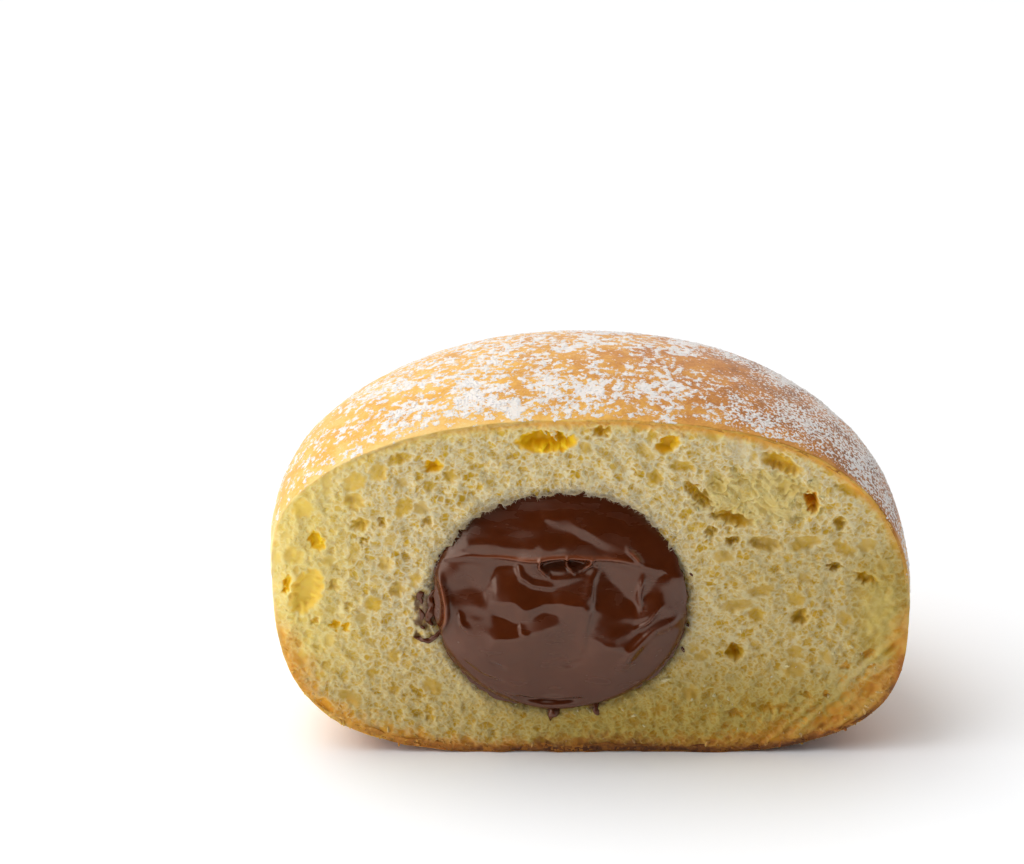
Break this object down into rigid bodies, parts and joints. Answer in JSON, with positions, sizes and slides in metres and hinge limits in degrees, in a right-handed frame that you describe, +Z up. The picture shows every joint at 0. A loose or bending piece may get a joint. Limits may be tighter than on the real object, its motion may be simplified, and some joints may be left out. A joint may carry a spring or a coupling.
{
  "type": "half filled doughnut",
  "caption": "Half of a domed, sugar-dusted yeast doughnut, cut upright to show airy yellow crumb round a smeared chocolate hazelnut cream filling; stands on its flat base.",
  "frame": {"origin": "the point of the flat base that lies below the crown of the whole bun", "axes": "+X to the right across the cut as seen from in front of it, +Y from the cut into the bun, +Z up"},
  "size_m": [0.0898, 0.0559, 0.0539],
  "materials": {
    "dough": "soft, matt, golden fried crust over pale yellow open crumb",
    "cream": "glossy, thick, smeared by the knife"
  },
  "bodies": {
    "root": {"dough": "dough", "cream": "cream"}
  },
  "joints": []
}
